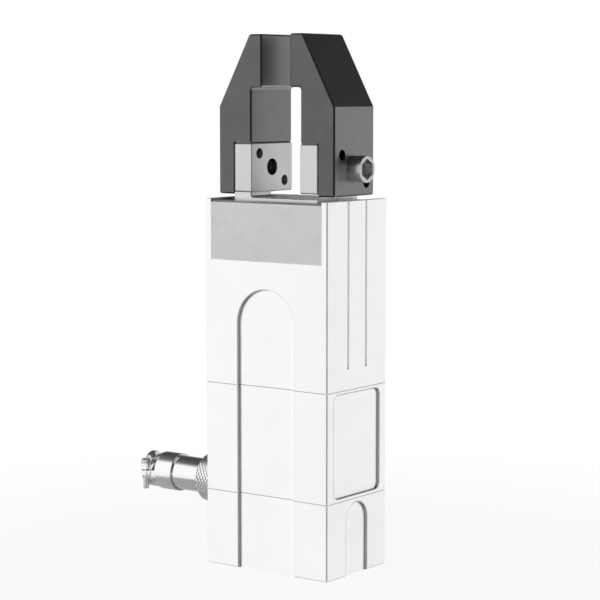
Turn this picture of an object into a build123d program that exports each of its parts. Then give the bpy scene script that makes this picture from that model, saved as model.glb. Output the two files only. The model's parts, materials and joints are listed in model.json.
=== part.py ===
from build123d import *
import math
import os

# Electric two-finger parallel gripper, in millimetres.
# Origin: centre of the body's bottom face. +X is the way the right jaw opens,
# -Y is the wide front face and +Z points to the fingertips.
# Each part with a side takes side = -1 for the left jaw, which rides on the
# front slider, and side = +1 for the right jaw, which rides on the rear slider.

# Body
body_width = 44.0
body_depth = 30.0
lower_height = 22.5
middle_height = 32.2
upper_height = 54.5
side_wall = 2.0
front_wall = 3.0
base_floor = 6.0
corner_boss = 5.0
cavity_round = 0.3
corner_chamfer = 0.3
seam_chamfer = 0.12
base_chamfer = 0.4
recess_rim = 0.15

# Shallow recesses in the faces of the body
arch_half_width = 10.2
arch_top = 83.2
arch_depth = 1.0
side_arch_half_width = 5.2
side_arch_top = 21.2
side_recess_depth = 0.85
label_half_width = 11.5
label_margin = 1.1
label_round = 2.0
groove_offset = 4.5
groove_width = 0.9
groove_depth = 0.6
groove_bottom = 60.7

# Guide block, let into the top of the body
guide_height = 17.3
guide_drop = 0.6
guide_fit = 0.05
guide_floor = 4.5
guide_chamfer = 0.4
channel_side_gap = 0.3

# Stroke
jaw_travel = 5.0
closed_gap = 0.1
end_gap = 0.1

# Rack and pinion
gear_module = 0.5
pinion_teeth = 20
pressure_angle = 20.0
backlash = 0.08
tooth_foot = 1.25
pinion_face = 3.8
rack_backing = 2.4
slider_leg = 2.0

# Sliders
slider_rise = 1.0
slider_flange = 3.2
slider_split = 0.4
slider_chamfer = 0.2
foot_height = 1.4
foot_length = 6.0
foot_round = 0.7

# Guide rails and carriages
rail_width = 3.0
rail_height = 2.6
rail_groove = 0.35
rail_end_gap = 0.2
rail_screw_count = 4
carriage_width = 6.2
carriage_inset = 2.9
carriage_height = 4.0
carriage_lift = 0.7
carriage_cap = 1.5
carriage_cap_inset = 0.15
slide_clearance = 0.06

# Jaw blocks
jaw_depth = 20.0
jaw_thickness = 6.18
jaw_height = 14.25
jaw_overhang = 0.03
jaw_round = 0.6
jaw_chamfer = 0.2
jaw_screw_height = 7.2
dowel_offset_y = 6.1
dowel_offset_z = 4.1

# Fingers
finger_width = 20.0
finger_plate = 5.92
finger_drop = 0.6
finger_height = 46.5
tip_length = 15.3
tip_thickness = 4.6
pocket_depth = 3.83
shoulder_drop = 20.9
finger_chamfer = 0.45
step_round = 1.0
relief_radius = 0.4

# Finger screws and dowel pins
finger_screw_radius = 2.5
finger_screw_length = 10.0
finger_head_radius = 3.85
finger_head_height = 4.5
finger_head_chamfer = 0.25
finger_socket_flats = 5.5
finger_socket_depth = 2.8
dowel_radius = 1.5
dowel_length = 6.0
dowel_clearance = 0.05
screw_clearance = 0.05
through_clearance = 0.2

# Motor stack
plate_thickness = 4.0
plate_clearance = 0.15
pilot_radius = 6.0
pilot_height = 2.0
gearhead_length = 27.0
gearhead_ring_groove = 0.4
motor_side_gap = 1.0
motor_cap_length = 3.0
motor_cap_step = 0.5
encoder_step = 1.0
encoder_length = 8.0
encoder_board_gap = 6.7
encoder_wall = 1.0

# Drive shaft and its bearing
shaft_radius = 2.5
shaft_neck_radius = 2.0
shaft_grip = 7.0
running_clearance = 0.05
pinion_lift = 0.4
bearing_radius = 5.0
bearing_height = 4.0
bearing_ring = 0.6
bearing_ball_radius = 0.6
bearing_ball_count = 8
bearing_ball_clearance = 0.06
bearing_shield = 0.4
bearing_shield_gap = 0.15
bearing_lip = 1.0

# Control board
board_side_gap = 1.5
board_front_gap = 1.0
board_thickness = 1.6
standoff_height = 5.0
standoff_radius = 1.9
standoff_inset = 2.6
chip_width = 7.0
chip_height = 0.9
regulator_width = 4.4
regulator_height = 1.4
wire_socket_length = 9.0
wire_socket_width = 3.8
wire_socket_height = 3.4
capacitor_radius = 2.0
capacitor_height = 4.0

# Screws inside the gripper: nominal radius and head
m25_radius = 1.25
m25_head_radius = 2.25
m25_head_height = 2.5
m2_radius = 1.0
m2_head_radius = 1.8
m2_head_height = 1.8
m16_radius = 0.8
m16_head_radius = 1.5
m16_head_height = 0.8
rail_head_radius = 1.2
rail_head_height = 1.0
socket_share = 0.95
socket_depth_share = 0.5
tie_head_recess = 2.8
tie_thread = 3.6
plate_screw_inset = 2.8
plate_screw_thread = 3.0
gearhead_screw_inset = 2.5
gearhead_screw_length = 6.0
jaw_screw_y = 2.4
jaw_screw_grip = 4.5
jaw_screw_spacing = 3.02
jaw_head_radius = 1.45
jaw_head_height = 1.6
rack_screw_grip = 1.6
carriage_screw_grip = 1.4
rail_screw_grip = 3.0
board_screw_grip = 3.0

# Mounting holes in the base
mount_inset_x = 10.0
mount_inset_y = 5.0
mount_hole_radius = 1.25
mount_hole_depth = 4.8
base_dowel_inset = 8.0
base_dowel_radius = 1.5
base_dowel_depth = 4.0

# Cable connector on the left face, its axis on the lower seam.
# Lengths are measured outwards from the face.
socket_flange_radius = 7.2
socket_flange_thickness = 1.5
socket_thread_radius = 5.95
socket_mouth = 9.5
socket_motor_gap = 0.5
socket_bore = 5.0
socket_bore_depth = 8.0
socket_insert_radius = 3.9
socket_hole_clearance = 0.05
nut_flats = 13.3
nut_thickness = 2.5
nut_side_gap = 0.35
contact_radius = 0.5
contact_circle_radius = 2.1
contact_count = 4
contact_length = 19.0
ring_start = 2.0
ring_radius = 7.4
ring_straight = 10.2
ring_end = 15.4
ring_tail_radius = 5.65
ring_edge = 0.4
plug_neck_radius = 5.25
plug_neck_end = 20.0
plug_barrel_radius = 5.8
plug_barrel_start = 21.8
plug_split = 25.5
plug_split_chamfer = 0.2
plug_flange_radius = 5.85
plug_flange_thickness = 1.5
plug_nose_radius = 4.9
plug_nose_length = 6.5
plug_wall = 0.6
plug_insert_length = 9.0
plug_spigot_length = 4.0
plug_spigot_radius = 5.1
rear_barrel_end = 28.5
rear_end = 30.6
rear_tail_radius = 5.2
cable_radius = 3.2
tongue_end = 34.0
tongue_top = 0.2
tongue_radius = 5.5
clamp_gap = 0.5
clamp_ear_top = 2.4
clamp_width = 2.0
clamp_crown = 5.6
clamp_arch_radius = 4.5
clamp_boss_radius = 1.6
clamp_boss_height = 1.4
clamp_screw_x = 32.9
clamp_screw_y = 4.55
clamp_screw_radius = 0.9
clamp_head_radius = 1.45
clamp_head_height = 1.4
clamp_slot_width = 0.4
clamp_slot_depth = 0.5
clamp_screw_length = 8.0

# Heights that follow from the sizes above
seam_low = lower_height
seam_high = lower_height + middle_height
body_top = seam_high + upper_height
guide_top = body_top - guide_drop
guide_bottom = guide_top - guide_height
channel_floor = guide_bottom + guide_floor
slider_top = guide_top + slider_rise
slider_bottom = channel_floor + carriage_height
flange_bottom = slider_top - slider_flange
jaw_bottom = slider_top + foot_height
jaw_top = jaw_bottom + jaw_height
jaw_screw_z = jaw_bottom + jaw_screw_height
finger_bottom = jaw_bottom - finger_drop
finger_top = finger_bottom + finger_height
step_z = finger_top - tip_length
shoulder_z = finger_top - shoulder_drop
plate_bottom = guide_bottom - plate_thickness
gearhead_bottom = plate_bottom - gearhead_length
pinion_bottom = slider_bottom + pinion_lift
pinion_top = pinion_bottom + pinion_face
board_bottom = base_floor + standoff_height
board_top = board_bottom + board_thickness
encoder_bottom = board_top + encoder_board_gap
motor_bottom = encoder_bottom + encoder_length

# Places across the gripper that follow
half_width = body_width / 2
half_depth = body_depth / 2
cavity_x = half_width - side_wall
cavity_y = half_depth - front_wall
boss_y = cavity_y - nut_flats / 2 - nut_side_gap
tie_x = cavity_x - corner_boss / 2
tie_y = cavity_y - boss_y / 2
mount_x = half_width - mount_inset_x
mount_y = half_depth - mount_inset_y
base_dowel_x = half_width - base_dowel_inset
board_x = cavity_x - corner_boss - board_side_gap
board_y = cavity_y - board_front_gap
motor_radius = min(cavity_y, cavity_x - corner_boss) - motor_side_gap
plate_screw_x = cavity_x - corner_boss + m25_head_radius / 4
plate_screw_y = cavity_y - boss_y - plate_screw_inset
guide_half = cavity_x - guide_fit
rail_screw_pitch = 2 * guide_half / rail_screw_count
pitch_radius = gear_module * pinion_teeth / 2
rack_root_y = pitch_radius + tooth_foot * gear_module
rack_back_y = rack_root_y + rack_backing
slider_outer_y = rack_back_y + slider_leg
slider_inner_y = slider_split / 2
slider_half = cavity_x - jaw_travel - end_gap
carriage_y = rack_root_y + rack_backing / 2
carriage_half = slider_half - carriage_inset - carriage_cap
carriage_screw_x = carriage_half / 2
channel_half = slider_outer_y + channel_side_gap
jaw_outer_x = slider_half + jaw_overhang
jaw_inner_x = jaw_outer_x - jaw_thickness
jaw_middle_x = slider_half - foot_length / 2
jaw_screw_x = (jaw_middle_x - jaw_screw_spacing / 2, jaw_middle_x + jaw_screw_spacing / 2)
rack_end_x = slider_half - foot_length + end_gap
tip_x = jaw_travel + closed_gap / 2
pocket_x = tip_x + pocket_depth
crown_x = tip_x + tip_thickness
finger_outer_x = jaw_outer_x + finger_plate
connector_z = seam_low
socket_back = motor_radius + socket_motor_gap - half_width


def block(x0, x1, y0, y1, z0, z1):
    """A box between two corners."""
    return Pos((x0 + x1) / 2, (y0 + y1) / 2, (z0 + z1) / 2) * Box(x1 - x0, y1 - y0, z1 - z0)


def rod(radius, x, y, z0, z1):
    """An upright cylinder from z0 to z1."""
    return Pos(x, y, (z0 + z1) / 2) * Cylinder(radius, z1 - z0)


def rod_x(radius, y, z, x0, x1):
    """A cylinder along X from x0 to x1."""
    return Pos((x0 + x1) / 2, y, z) * Rot(0, 90, 0) * Cylinder(radius, x1 - x0)


def rod_y(radius, x, z, y0, y1):
    """A cylinder along Y from y0 to y1."""
    return Pos(x, (y0 + y1) / 2, z) * Rot(90, 0, 0) * Cylinder(radius, y1 - y0)


def upright_hexagon(flats, z0, z1):
    """A hexagonal prism on the Z axis, its size given across the flats."""
    return Pos(0, 0, z0) * extrude(RegularPolygon(flats / math.sqrt(3), 6), z1 - z0)


def group(solids):
    """Like pieces that share one node, each a solid of its own."""
    return Compound(children=list(solids))


def write(name, shape):
    """Writes one node's file."""
    export_step(shape, os.path.join("parts", name + ".step"))


def cap_screw(radius, length, head_radius, head_height):
    """A socket-head screw that points down, with its head's seat at the origin."""
    thread = radius - screw_clearance
    screw = rod(thread, 0, 0, -length, 0) + rod(head_radius, 0, 0, 0, head_height)
    socket = upright_hexagon(
        head_radius * socket_share, head_height * (1 - socket_depth_share), head_height
    )
    return screw - socket


def flat_screw(radius, length, head_radius, head_height):
    """A countersunk screw that points down, with the top of its head at the origin."""
    thread = radius - screw_clearance
    screw = rod(thread, 0, 0, -length, 0)
    screw += Pos(0, 0, -head_height / 2) * Cone(thread, head_radius, head_height)
    socket = upright_hexagon(head_radius * socket_share, -head_height * socket_depth_share, 0)
    return screw - socket


def flat_screw_seat(radius, length, head_radius, head_height):
    """The hole that a countersunk screw fills, with its mouth at the origin."""
    hole = rod(radius, 0, 0, -length - screw_clearance, 0)
    seat = Pos(0, 0, -head_height / 2) * Cone(
        radius, head_radius + screw_clearance, head_height
    )
    return hole + seat


def corners(x, y):
    """The four places at plus and minus x and y."""
    return [(sx * x, sy * y) for sx in (-1, 1) for sy in (-1, 1)]


def outer_section(z0, z1, bottom_chamfer, top_chamfer):
    """One section of the body as a solid block with broken edges."""
    section = block(-half_width, half_width, -half_depth, half_depth, z0, z1)
    section = chamfer(section.edges().filter_by(Axis.Z), corner_chamfer)
    section = chamfer(section.faces().sort_by(Axis.Z)[-1].edges(), top_chamfer)
    return chamfer(section.faces().sort_by(Axis.Z)[0].edges(), bottom_chamfer)


def cavity(z0, z1, slack=0.0):
    """The inside of the body: a rectangle that leaves a boss in each corner."""
    x, y = cavity_x - slack, cavity_y - slack
    inner_x, inner_y = cavity_x - corner_boss - slack, cavity_y - boss_y - slack
    space = block(-x, x, -inner_y, inner_y, z0, z1)
    space += block(-inner_x, inner_x, -y, y, z0, z1)
    return fillet(space.edges().filter_by(Axis.Z), cavity_round)


def arch_outline(half, top):
    """The outline of an arch that is open at its foot, x across and y up."""
    spring, foot = top - half, -corner_boss
    sides = Polyline((-half, spring), (-half, foot), (half, foot), (half, spring))
    return make_face([sides, ThreePointArc((half, spring), (0, top), (-half, spring))])


def label_outline(half, low, high, corner):
    """A rounded upright rectangle, x across and y up."""
    return Pos(0, (low + high) / 2) * RectangleRounded(2 * half, high - low, corner)


def recess(plane, outline, wider, depth):
    """A shallow pocket cut inwards from the plane, with a broken rim."""
    return extrude(plane * outline, depth) + extrude(plane * wider, recess_rim, taper=45)


def front_arch():
    """The tall arch that runs over all three sections of the front face."""
    front = Plane((0, -half_depth, 0), x_dir=(-1, 0, 0), z_dir=(0, 1, 0))
    outline = arch_outline(arch_half_width, arch_top)
    wider = arch_outline(arch_half_width + recess_rim, arch_top + recess_rim)
    return recess(front, outline, wider, arch_depth)


def right_face():
    """The right face as a plane to cut recesses from."""
    return Plane((half_width, 0, 0), x_dir=(0, -1, 0), z_dir=(-1, 0, 0))


def side_arch():
    """The small arch at the foot of the right face."""
    outline = arch_outline(side_arch_half_width, side_arch_top)
    wider = arch_outline(side_arch_half_width + recess_rim, side_arch_top + recess_rim)
    return recess(right_face(), outline, wider, side_recess_depth)


def label_recess():
    """The rounded recess for the label, on the right face of the middle section."""
    low, high = seam_low + label_margin, seam_high - label_margin
    outline = label_outline(label_half_width, low, high, label_round)
    wider = label_outline(
        label_half_width + recess_rim, low - recess_rim, high + recess_rim,
        label_round + recess_rim,
    )
    return recess(right_face(), outline, wider, side_recess_depth)


def side_grooves():
    """Two upright grooves in each side of the upper section, open at the top."""
    cuts = []
    for x in (-half_width, half_width):
        for y in (-groove_offset, groove_offset):
            cuts.append(block(
                x - groove_depth, x + groove_depth,
                y - groove_width / 2, y + groove_width / 2,
                groove_bottom + groove_width / 2, body_top,
            ))
            cuts.append(rod_x(
                groove_width / 2, y, groove_bottom + groove_width / 2,
                x - groove_depth, x + groove_depth,
            ))
    return cuts


def tie_holes(z0, z1):
    """Clearance holes for the tie screws, in the corner bosses."""
    return [rod(m25_radius + through_clearance, x, y, z0, z1) for x, y in corners(tie_x, tie_y)]


def socket_hole():
    """The hole that the lower and middle sections share for the panel socket."""
    radius = socket_thread_radius + socket_hole_clearance
    return rod_x(radius, 0, connector_z, -half_width, -cavity_x + side_wall / 2)


def lower_housing():
    """The foot of the body, with its floor and the mounting holes."""
    shell = outer_section(0, seam_low, base_chamfer, seam_chamfer)
    shell -= cavity(base_floor, seam_low)
    shell -= front_arch()
    shell -= side_arch()
    shell -= socket_hole()
    shell -= tie_holes(0, seam_low)
    for x, y in corners(tie_x, tie_y):
        shell -= rod(m25_head_radius + through_clearance, x, y, 0, tie_head_recess)
    for x, y in corners(mount_x, mount_y):
        shell -= rod(mount_hole_radius, x, y, 0, mount_hole_depth)
    for x in (-base_dowel_x, base_dowel_x):
        shell -= rod(base_dowel_radius, x, 0, 0, base_dowel_depth)
    for x, y in board_corners():
        shell -= rod(m2_radius, x, y, base_floor - board_screw_grip, base_floor)
    return shell


def middle_housing():
    """The middle of the body, with the recess for the label."""
    shell = outer_section(seam_low, seam_high, seam_chamfer, seam_chamfer)
    shell -= cavity(seam_low, seam_high)
    shell -= front_arch()
    shell -= label_recess()
    shell -= socket_hole()
    shell -= tie_holes(seam_low, seam_high)
    return shell


def upper_housing():
    """The top of the body: its two cheeks stand on either side of the guide block."""
    shell = outer_section(seam_high, body_top, seam_chamfer, seam_chamfer)
    shell -= cavity(seam_high, guide_bottom)
    shell -= block(-cavity_x, cavity_x, -half_depth, half_depth, guide_bottom, body_top)
    shell -= front_arch()
    shell -= side_grooves()
    shell -= tie_holes(seam_high, guide_bottom)
    return shell


def rail_screw_places():
    """The screw places along one rail."""
    first = -rail_screw_pitch * (rail_screw_count - 1) / 2
    return [first + rail_screw_pitch * i for i in range(rail_screw_count)]


def guide_block():
    """The bare block that carries the rails, the bearing and the sliders' channel."""
    metal = block(-guide_half, guide_half, -half_depth, half_depth, guide_bottom, guide_top)
    long_edges = metal.faces().sort_by(Axis.Z)[-1].edges().filter_by(Axis.X)
    metal = chamfer(long_edges, guide_chamfer)
    metal -= block(
        -guide_half, guide_half, -channel_half, channel_half, channel_floor, guide_top
    )
    metal -= rod(bearing_radius, 0, 0, guide_bottom, guide_bottom + bearing_height)
    metal -= rod(bearing_radius - bearing_lip, 0, 0, guide_bottom, channel_floor)
    for x, y in corners(tie_x, tie_y):
        metal -= rod(m25_radius, x, y, guide_bottom, guide_bottom + tie_thread)
    for x, y in corners(plate_screw_x, plate_screw_y):
        metal -= rod(m25_radius, x, y, guide_bottom, guide_bottom + plate_screw_thread)
    for x in rail_screw_places():
        for y in (-carriage_y, carriage_y):
            metal -= rod(m16_radius, x, y, channel_floor - rail_screw_grip, channel_floor)
    return metal


def guide_rail(side):
    """One rail with a groove along each flank and countersunk screw holes."""
    half, length = rail_width / 2, 2 * (guide_half - rail_end_gap)
    middle = rail_height / 2
    with_groove = [
        (-half, 0), (half, 0), (half, middle - rail_groove), (half - rail_groove, middle),
        (half, middle + rail_groove), (half, rail_height), (-half, rail_height),
        (-half, middle + rail_groove), (rail_groove - half, middle), (-half, middle - rail_groove),
    ]
    section = Plane.YZ * make_face(Polyline(*with_groove, close=True))
    rail = Pos(0, side * carriage_y, channel_floor) * extrude(section, length / 2, both=True)
    top = channel_floor + rail_height
    for x in rail_screw_places():
        rail -= rod(m16_radius, x, side * carriage_y, channel_floor, top)
        rail -= rod(rail_head_radius + screw_clearance, x, side * carriage_y,
                    top - rail_head_height - screw_clearance, top)
    return rail


def rail_screws():
    """Every screw of both rails."""
    top = channel_floor + rail_height - rail_head_height - screw_clearance
    length = rail_height - rail_head_height - screw_clearance + rail_screw_grip - screw_clearance
    screws = []
    for y in (-carriage_y, carriage_y):
        for x in rail_screw_places():
            screw = cap_screw(m16_radius, length, rail_head_radius, rail_head_height)
            screws.append(Pos(x, y, top) * screw)
    return group(screws)


def carriage_section(inset):
    """The carriage's outline across the rail: an inverted U that clears it all round."""
    half = carriage_width / 2 - inset
    throat = rail_width / 2 + slide_clearance + inset
    roof = rail_height + slide_clearance + inset
    outline = [
        (-half, carriage_lift + inset), (-throat, carriage_lift + inset), (-throat, roof),
        (throat, roof), (throat, carriage_lift + inset), (half, carriage_lift + inset),
        (half, carriage_height - inset), (-half, carriage_height - inset),
    ]
    return Plane.YZ * make_face(Polyline(*outline, close=True))


def carriage(side):
    """The steel body of one carriage, with the threads for its two screws."""
    body = extrude(carriage_section(0.0), carriage_half, both=True)
    body = Pos(0, side * carriage_y, channel_floor) * body
    for x in (-carriage_screw_x, carriage_screw_x):
        body -= rod(m16_radius, x, side * carriage_y,
                    slider_bottom - carriage_height + rail_height, slider_bottom)
    return body


def carriage_caps(side):
    """The two plastic end caps of one carriage."""
    cap = extrude(carriage_section(carriage_cap_inset), carriage_cap / 2, both=True)
    place = carriage_half + carriage_cap / 2
    return group(
        Pos(end * place, side * carriage_y, channel_floor) * cap for end in (-1, 1)
    )


def on_side(side, shape):
    """Turns a piece that was drawn for the rear slider to the side it is on."""
    return shape if side > 0 else Rot(0, 0, 180) * shape


def slider(side):
    """A slider: flange over the rack, leg down its back and a foot for the jaw block."""
    bar = block(-slider_half, slider_half, slider_inner_y, slider_outer_y,
                flange_bottom, slider_top)
    bar += block(-slider_half, slider_half, rack_back_y, slider_outer_y,
                 slider_bottom, slider_top)
    foot_start = slider_half - foot_length
    bar += block(foot_start, slider_half, slider_inner_y, slider_outer_y,
                 slider_top, jaw_bottom)
    inner_corner = bar.edges().filter_by(Axis.Y).filter_by(
        lambda e: abs(e.center().X - foot_start) < 1e-3 and abs(e.center().Z - slider_top) < 1e-3
    )
    bar = fillet(inner_corner, foot_round)
    long_edges = bar.edges().filter_by(Axis.X).filter_by(
        lambda e: abs(e.center().Z - slider_top) < 1e-3
    )
    bar = chamfer(long_edges, slider_chamfer)
    for x in jaw_screw_x:
        bar -= rod(m16_radius + screw_clearance, x, jaw_screw_y, flange_bottom, jaw_bottom)
    for x in (-carriage_screw_x, carriage_screw_x):
        bar -= Pos(x, carriage_y, slider_top) * flat_screw_seat(
            m16_radius, slider_flange, m16_head_radius, m16_head_height)
    for x in rack_screw_places():
        bar -= Pos(x, slider_outer_y, rack_screw_z()) * Rot(-90, 0, 0) * flat_screw_seat(
            m16_radius, slider_leg, m16_head_radius, m16_head_height)
    return on_side(side, bar)


def rack_screw_places():
    """The screw places along one rack, on the rear slider's side."""
    return (0.0, -2 * carriage_screw_x + m16_head_radius)


def rack_screw_z():
    """The height of the screws that hold the rack to the slider's leg."""
    return (slider_bottom + flange_bottom) / 2


def rack_outline(phase):
    """The rear rack seen from above: straight-flanked teeth that point to the pinion."""
    pitch = math.pi * gear_module
    flank = math.tan(math.radians(pressure_angle))
    tip_half = pitch / 4 - backlash / 4 - gear_module * flank
    root_half = pitch / 4 - backlash / 4 + tooth_foot * gear_module * flank
    tip_y = pitch_radius - gear_module
    start, end = -slider_half, rack_end_x
    outline = [(end, rack_back_y), (start, rack_back_y), (start, rack_root_y)]
    first = math.ceil((start + root_half - phase) / pitch - 0.5)
    last = math.floor((end - root_half - phase) / pitch - 0.5)
    for tooth in range(first, last + 1):
        x = (tooth + 0.5) * pitch + phase
        outline += [
            (x - root_half, rack_root_y), (x - tip_half, tip_y),
            (x + tip_half, tip_y), (x + root_half, rack_root_y),
        ]
    outline.append((end, rack_root_y))
    return outline


def rack(side):
    """A rack, held to the slider's leg by screws and seated on the carriage."""
    phase = (pinion_teeth % 2) * math.pi * gear_module / 2 if side > 0 else 0.0
    face = make_face(Polyline(*rack_outline(phase), close=True))
    bar = Pos(0, 0, slider_bottom) * extrude(face, flange_bottom - slider_bottom)
    for x in (-carriage_screw_x, carriage_screw_x):
        bar -= rod(m16_radius, x, carriage_y, slider_bottom, flange_bottom)
    for x in rack_screw_places():
        bar -= rod_y(m16_radius, x, rack_screw_z(), rack_back_y - rack_screw_grip, rack_back_y)
    return on_side(side, bar)


def rack_screws(side):
    """The countersunk screws through the slider's leg into the rack."""
    length = slider_leg + rack_screw_grip - screw_clearance
    screw = flat_screw(m16_radius, length, m16_head_radius, m16_head_height)
    return on_side(side, group(
        Pos(x, slider_outer_y, rack_screw_z()) * Rot(-90, 0, 0) * screw
        for x in rack_screw_places()
    ))


def carriage_screws(side):
    """The countersunk screws down through slider and rack into the carriage."""
    length = slider_top - slider_bottom + carriage_screw_grip - screw_clearance
    screw = flat_screw(m16_radius, length, m16_head_radius, m16_head_height)
    return on_side(side, group(
        Pos(x, carriage_y, slider_top) * screw
        for x in (-carriage_screw_x, carriage_screw_x)
    ))


def jaw_screws(side):
    """The screws up through the slider's foot into the jaw block."""
    length = jaw_bottom - flange_bottom + jaw_screw_grip
    screw = cap_screw(m16_radius, length, jaw_head_radius, jaw_head_height)
    return on_side(side, group(
        Pos(x, jaw_screw_y, flange_bottom) * Rot(180, 0, 0) * screw for x in jaw_screw_x
    ))


def dowel_places(side):
    """The dowels' y and z: the upper one is to the front on both jaws."""
    return [
        (-side * turn * dowel_offset_y, jaw_screw_z + turn * dowel_offset_z)
        for turn in (-1, 1)
    ]


def finger_holes(side, screw_radius, x0, x1):
    """The screw hole and the two dowel holes that jaw block and finger share."""
    holes = [rod_x(screw_radius, 0, jaw_screw_z, x0, x1)]
    for y, z in dowel_places(side):
        holes.append(rod_x(dowel_radius + dowel_clearance, y, z, x0, x1))
    return holes


def jaw_block(side):
    """The silver block on a slider's foot that the finger is screwed to."""
    half = jaw_depth / 2
    metal = block(jaw_inner_x, jaw_outer_x, -half, half, jaw_bottom, jaw_top)
    metal = fillet(metal.edges().filter_by(Axis.X), jaw_round)
    ends = metal.faces().sort_by(Axis.X)
    metal = chamfer(ends[0].edges() + ends[-1].edges(), jaw_chamfer)
    metal -= finger_holes(side, finger_screw_radius, jaw_inner_x, jaw_outer_x)
    for x in jaw_screw_x:
        metal -= rod(m16_radius, x, jaw_screw_y, jaw_bottom,
                     jaw_bottom + jaw_screw_grip + screw_clearance)
    return on_side(side, metal)


def finger_outline():
    """The right finger seen from the front, x outwards and z up."""
    return [
        (jaw_outer_x, finger_bottom), (jaw_outer_x, jaw_top), (pocket_x, jaw_top),
        (pocket_x, step_z), (tip_x, step_z), (tip_x, finger_top), (crown_x, finger_top),
        (finger_outer_x, shoulder_z), (finger_outer_x, finger_bottom),
    ]


def edges_at(shape, places):
    """The edges along Y that pass through the given x, z places."""
    def near(edge):
        c = edge.center()
        return any(abs(c.X - x) < 1e-3 and abs(c.Z - z) < 1e-3 for x, z in places)
    return shape.edges().filter_by(Axis.Y).filter_by(near)


def finger(side):
    """A stepped and tapered finger with broken edges."""
    face = Plane.XZ * make_face(Polyline(*finger_outline(), close=True))
    body = extrude(face, finger_width / 2, both=True)
    body = fillet(edges_at(body, [(pocket_x, step_z)]), step_round)
    sharp = [
        (jaw_outer_x, finger_bottom), (finger_outer_x, finger_bottom), (pocket_x, jaw_top),
        (tip_x, step_z), (tip_x, finger_top), (crown_x, finger_top),
    ]
    body = chamfer(edges_at(body, sharp), finger_chamfer)
    ends = body.faces().sort_by(Axis.Y)
    body = chamfer(ends[0].edges() + ends[-1].edges(), finger_chamfer)
    body -= rod_y(relief_radius, jaw_outer_x, jaw_top, -finger_width / 2, finger_width / 2)
    body -= finger_holes(
        side, finger_screw_radius + through_clearance, jaw_outer_x, finger_outer_x
    )
    return on_side(side, body)


def finger_screw(side):
    """The large socket screw through a finger into its jaw block."""
    screw = rod(finger_screw_radius - screw_clearance, 0, 0, -finger_screw_length, 0)
    head = rod(finger_head_radius, 0, 0, 0, finger_head_height)
    head = chamfer(head.faces().sort_by(Axis.Z)[-1].edges(), finger_head_chamfer)
    socket = upright_hexagon(
        finger_socket_flats, finger_head_height - finger_socket_depth, finger_head_height
    )
    return on_side(side, Pos(finger_outer_x, 0, jaw_screw_z) * Rot(0, 90, 0) * (
        screw + head - socket))


def dowel_pins(side):
    """The two pins that place a finger on its jaw block."""
    half = dowel_length / 2
    return on_side(side, group(
        rod_x(dowel_radius, y, z, jaw_outer_x - half, jaw_outer_x + half)
        for y, z in dowel_places(side)
    ))


def gearhead_screw_places():
    """The screws of the gearhead, on a circle round the shaft."""
    reach = (motor_radius - gearhead_screw_inset) * math.sqrt(0.5)
    return corners(reach, reach)


def motor_plate():
    """The plate under the guide block that the gearhead hangs from."""
    plate = cavity(plate_bottom, guide_bottom, plate_clearance)
    plate -= rod(pilot_radius + running_clearance, 0, 0, plate_bottom,
                 plate_bottom + pilot_height + running_clearance)
    plate -= rod(shaft_radius + through_clearance, 0, 0, plate_bottom, guide_bottom)
    for x, y in corners(plate_screw_x, plate_screw_y):
        plate -= rod(m25_radius + through_clearance, x, y, plate_bottom, guide_bottom)
    for x, y in gearhead_screw_places():
        plate -= Pos(x, y, guide_bottom) * flat_screw_seat(
            m2_radius, plate_thickness, 2 * m2_radius, m2_radius)
    return plate


def gearhead_screws():
    """The countersunk screws down through the plate into the gearhead."""
    screw = flat_screw(m2_radius, gearhead_screw_length, 2 * m2_radius, m2_radius)
    return group(Pos(x, y, guide_bottom) * screw for x, y in gearhead_screw_places())


def plate_screws():
    """The screws up through the plate into the guide block."""
    length = plate_thickness + plate_screw_thread - screw_clearance
    screw = Rot(180, 0, 0) * cap_screw(m25_radius, length, m25_head_radius, m25_head_height)
    return group(Pos(x, y, plate_bottom) * screw for x, y in corners(plate_screw_x, plate_screw_y))


def gearhead():
    """The round gearhead with its pilot and the bore its shaft turns in."""
    body = rod(motor_radius, 0, 0, gearhead_bottom, plate_bottom)
    for share in (0.2, 0.8):
        z = gearhead_bottom + share * gearhead_length
        groove = rod(motor_radius, 0, 0, z, z + gearhead_ring_groove)
        body -= groove - rod(motor_radius - gearhead_ring_groove, 0, 0,
                             z, z + gearhead_ring_groove)
    body += rod(pilot_radius, 0, 0, plate_bottom, plate_bottom + pilot_height)
    body -= rod(shaft_radius + running_clearance, 0, 0,
                plate_bottom - shaft_grip - running_clearance, plate_bottom + pilot_height)
    for x, y in gearhead_screw_places():
        body -= rod(m2_radius, x, y, plate_bottom - gearhead_screw_length, plate_bottom)
    return body


def motor():
    """The motor's can with its stepped end cap."""
    can = rod(motor_radius, 0, 0, motor_bottom + motor_cap_length, gearhead_bottom)
    return can + rod(motor_radius - motor_cap_step, 0, 0,
                     motor_bottom, motor_bottom + motor_cap_length)


def encoder_cover():
    """The cup over the position sensor on the motor's tail."""
    low = encoder_bottom
    cup = rod(motor_radius - encoder_step, 0, 0, low, motor_bottom)
    cup = chamfer(cup.faces().sort_by(Axis.Z)[0].edges(), encoder_wall / 2)
    return cup - rod(motor_radius - encoder_step - encoder_wall, 0, 0, low + encoder_wall, motor_bottom)


def drive_shaft():
    """The gearhead's output shaft, with a neck for the pinion."""
    low = plate_bottom - shaft_grip
    shaft = rod(shaft_radius, 0, 0, low, pinion_bottom)
    shaft += rod(shaft_neck_radius, 0, 0, pinion_bottom, pinion_top)
    return shaft - rod(m16_radius, 0, 0, pinion_top - m16_head_radius * 2, pinion_top)


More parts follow.
